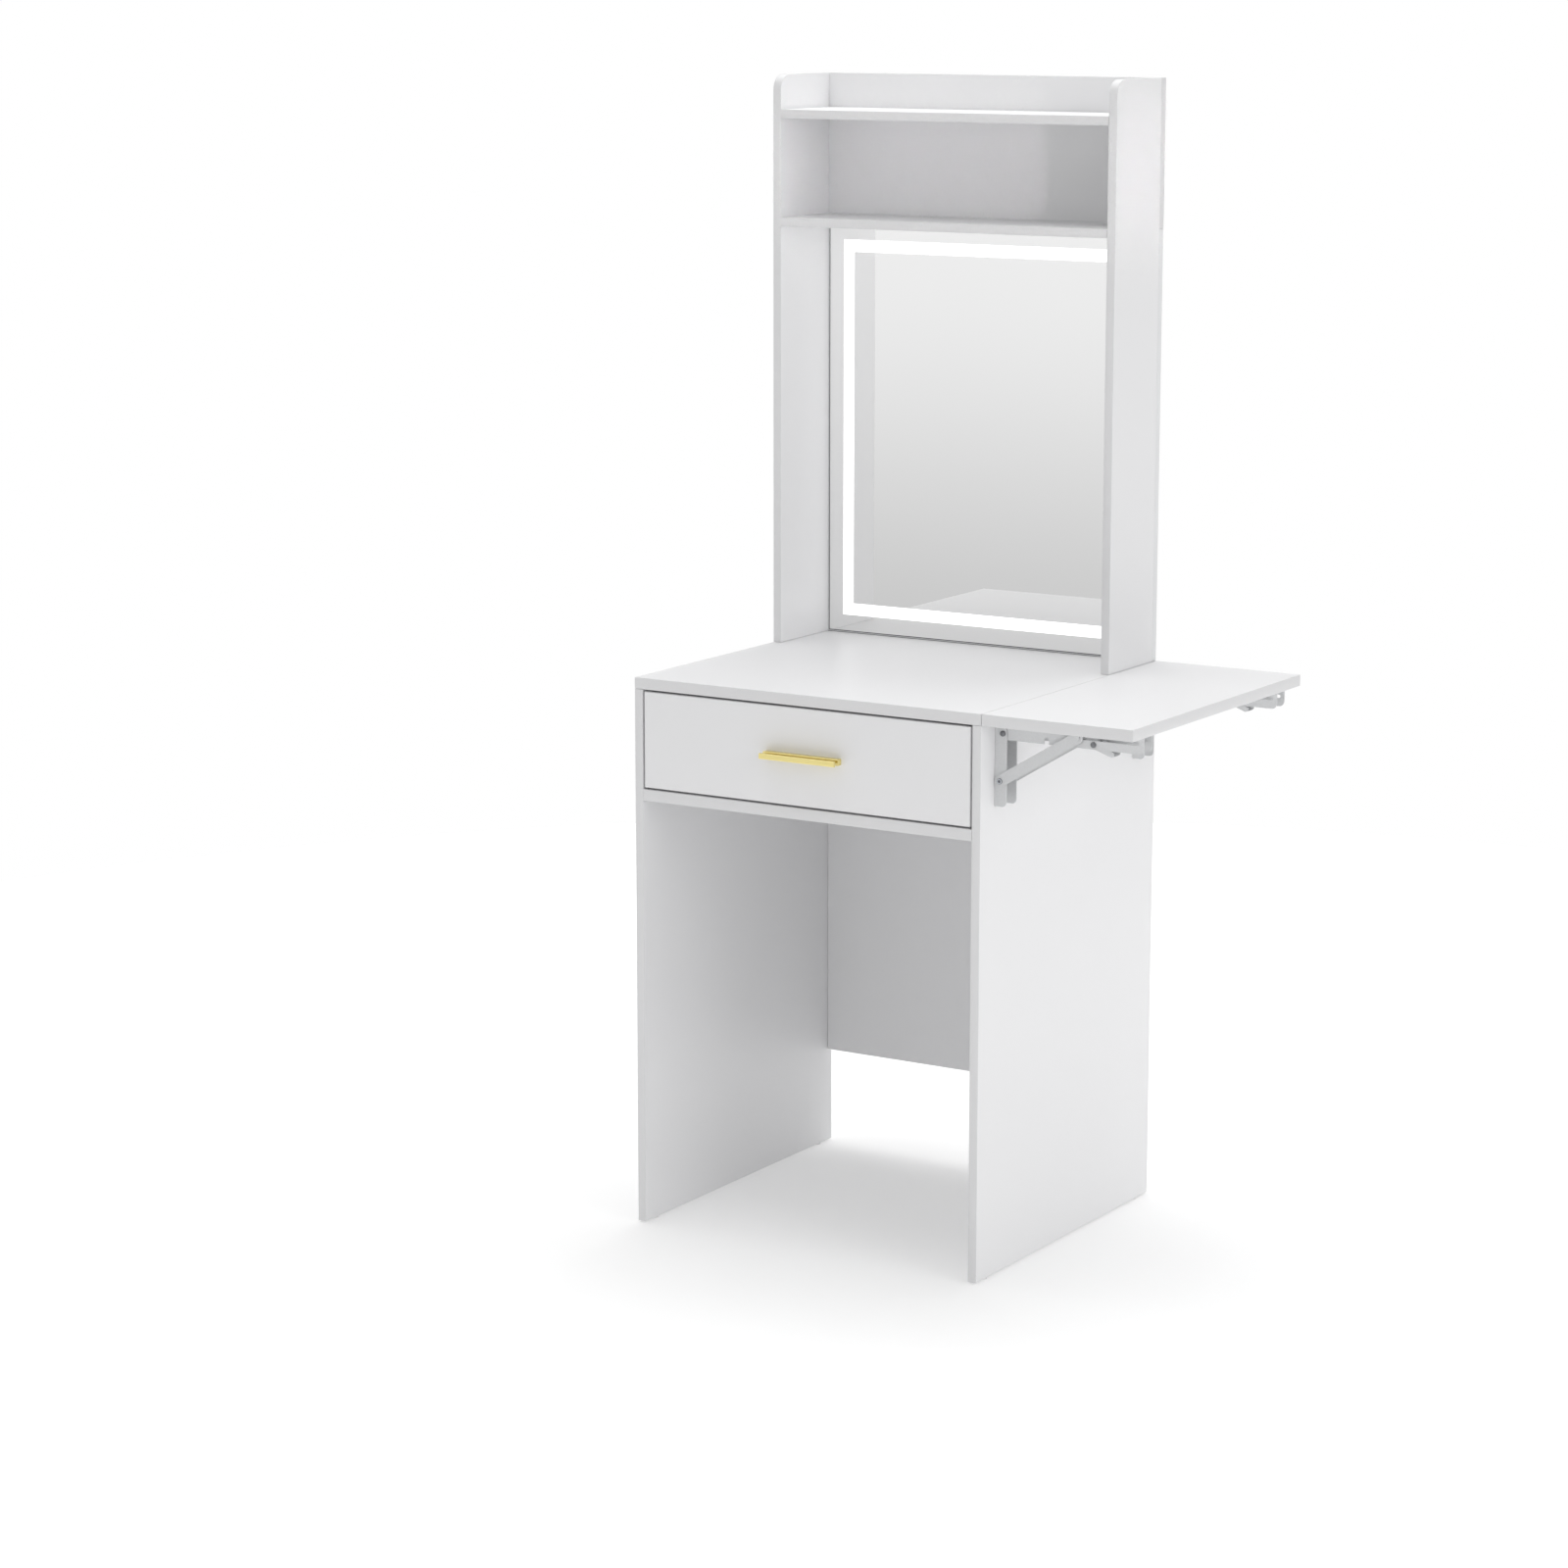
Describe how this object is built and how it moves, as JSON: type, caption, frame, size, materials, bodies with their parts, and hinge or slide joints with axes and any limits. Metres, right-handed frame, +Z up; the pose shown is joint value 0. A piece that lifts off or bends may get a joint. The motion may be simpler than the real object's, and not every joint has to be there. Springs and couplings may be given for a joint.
{
  "type": "dressing table with lit mirror",
  "caption": "White dressing table with a drawer, a lit mirror under open shelves, and a side leaf that folds down on braced brackets",
  "frame": {"origin": "on the floor, at the middle of the whole object's box with the leaf up and the drawer shut", "axes": "+Z is up, the front with the drawer faces -Y, the fold-down leaf is at the +X end, and the back stands towards +Y"},
  "size_m": [0.732, 0.4984, 1.515],
  "materials": {
    "white_board": "satin white melamine",
    "drawer_board": "matt white foil",
    "plastic_white": "satin moulded",
    "white_steel": "white powder coat",
    "dark_steel": "dark burnished",
    "zinc": "bright zinc plate",
    "gold": "satin gold anodised",
    "mirror": "polished",
    "diffuser": "opal, lit from behind",
    "led": "lit strip",
    "circuit": "green circuit board",
    "socket": "black moulded",
    "beech": "plain beech"
  },
  "bodies": {
    "carcass": {"desk_left_side_panel": "white_board", "desk_right_side_panel": "white_board", "desk_top": "white_board", "drawer_shelf": "white_board", "desk_back_panel": "white_board", "hutch_left_side_panel": "white_board", "hutch_right_side_panel": "white_board", "hutch_tray_shelf": "white_board", "hutch_cubby_shelf": "white_board", "hutch_back_board": "white_board", "mirror_housing": "plastic_white", "mirror_glass": "mirror", "light_diffuser": "diffuser", "led_strip": "led", "touch_switch_board": "circuit", "power_socket": "socket", "floor_glide_left_front": "plastic_white", "floor_glide_left_rear": "plastic_white", "floor_glide_right_front": "plastic_white", "floor_glide_right_rear": "plastic_white", "hutch_dowel_left_front": "beech", "hutch_dowel_left_rear": "beech", "hutch_dowel_right_front": "beech", "hutch_dowel_right_rear": "beech", "slide_cabinet_member_left": "zinc", "slide_cabinet_member_right": "zinc", "bracket_wall_channel_front": "white_steel", "bracket_hinge_pin_front": "dark_steel", "bracket_brace_pin_front": "dark_steel", "bracket_wall_channel_rear": "white_steel", "bracket_hinge_pin_rear": "dark_steel", "bracket_brace_pin_rear": "dark_steel"},
    "drawer": {"drawer_front": "white_board", "drawer_left_side": "drawer_board", "drawer_right_side": "drawer_board", "drawer_back": "drawer_board", "drawer_bottom": "drawer_board", "drawer_pull": "gold", "pull_screw_left": "zinc", "pull_screw_right": "zinc", "slide_drawer_member_left": "zinc", "slide_drawer_member_right": "zinc"},
    "slide_middle_left": {"slide_middle_member_left": "zinc"},
    "slide_middle_right": {"slide_middle_member_right": "zinc"},
    "leaf": {"side_leaf": "white_board", "bracket_shelf_arm_front": "white_steel", "bracket_lever_pin_front": "dark_steel", "bracket_shelf_arm_rear": "white_steel", "bracket_lever_pin_rear": "dark_steel"},
    "front_brace": {"bracket_brace_bar_front_front": "white_steel", "bracket_brace_bar_front_rear": "white_steel", "bracket_slot_rivet_front_front": "dark_steel", "bracket_slot_rivet_front_rear": "dark_steel"},
    "front_lever": {"bracket_release_lever_front": "white_steel"},
    "rear_brace": {"bracket_brace_bar_rear_front": "white_steel", "bracket_brace_bar_rear_rear": "white_steel", "bracket_slot_rivet_rear_front": "dark_steel", "bracket_slot_rivet_rear_rear": "dark_steel"},
    "rear_lever": {"bracket_release_lever_rear": "white_steel"}
  },
  "joints": [
    {"name": "drawer_slide", "type": "slide", "parent": "carcass", "child": "drawer", "axis": [0, -1, 0], "range_m": [0, 0.35]},
    {"name": "slide_middle_left_run", "type": "slide", "parent": "carcass", "child": "slide_middle_left", "axis": [0, -1, 0], "range_m": [0, 0.175]},
    {"name": "slide_middle_right_run", "type": "slide", "parent": "carcass", "child": "slide_middle_right", "axis": [0, -1, 0], "range_m": [0, 0.175]},
    {"name": "leaf_fold", "type": "hinge", "parent": "carcass", "child": "leaf", "pos_m": [0.1657, 0, 0.7139], "axis": [0, 1, 0], "range_deg": [0, 90]},
    {"name": "front_brace_swing", "type": "hinge", "parent": "carcass", "child": "front_brace", "pos_m": [0.1627, -0.18075, 0.6529], "axis": [0, 1, 0], "range_deg": [0, 117.7]},
    {"name": "rear_brace_swing", "type": "hinge", "parent": "carcass", "child": "rear_brace", "pos_m": [0.1627, 0.19925, 0.6529], "axis": [0, 1, 0], "range_deg": [0, 117.7]},
    {"name": "front_lever_tip", "type": "hinge", "parent": "leaf", "child": "front_lever", "pos_m": [0.2925, -0.18075, 0.7115], "axis": [0, -1, 0], "range_deg": [0, 24]},
    {"name": "rear_lever_tip", "type": "hinge", "parent": "leaf", "child": "rear_lever", "pos_m": [0.2925, 0.19925, 0.7115], "axis": [0, -1, 0], "range_deg": [0, 24]}
  ],
  "couplings": [
    {"joint": "slide_middle_left_run", "follows": "drawer_slide", "ratio": 0.5},
    {"joint": "slide_middle_right_run", "follows": "drawer_slide", "ratio": 0.5},
    {"joint": "front_brace_swing", "follows": "leaf_fold", "ratio": 1.3067},
    {"joint": "rear_brace_swing", "follows": "leaf_fold", "ratio": 1.3067},
    {"joint": "front_lever_tip", "follows": "leaf_fold", "ratio": 0.26666},
    {"joint": "rear_lever_tip", "follows": "leaf_fold", "ratio": 0.26666}
  ]
}
